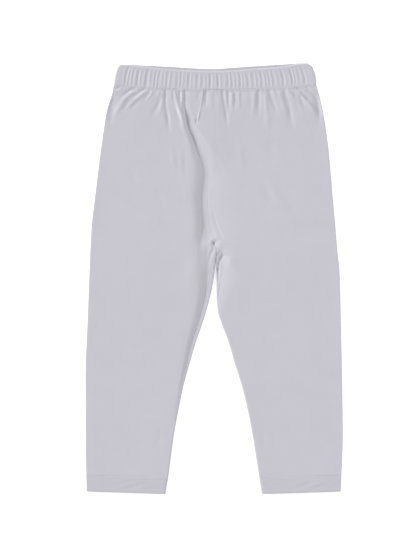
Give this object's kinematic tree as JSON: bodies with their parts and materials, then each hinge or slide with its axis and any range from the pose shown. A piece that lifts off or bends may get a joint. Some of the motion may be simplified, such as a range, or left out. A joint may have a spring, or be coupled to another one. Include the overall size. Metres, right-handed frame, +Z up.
{
  "type": "capri leggings",
  "caption": "Child's cotton jersey capri leggings laid flat: gathered elastic waistband, two legs, turned-up hems.",
  "frame": {"origin": "under the middle of the garment, on the surface that it lies on", "axes": "+Z up, out of the garment's front; +Y towards the waist; +X towards the wearer's left leg"},
  "size_m": [0.299, 0.5, 0.006],
  "materials": {
    "leg_jersey": "matt",
    "waistband_jersey": "matt",
    "hem_jersey": "matt"
  },
  "bodies": {
    "root": {"waistband": "waistband_jersey", "right_leg": "leg_jersey", "left_leg": "leg_jersey", "right_hem": "hem_jersey", "left_hem": "hem_jersey"}
  },
  "joints": []
}
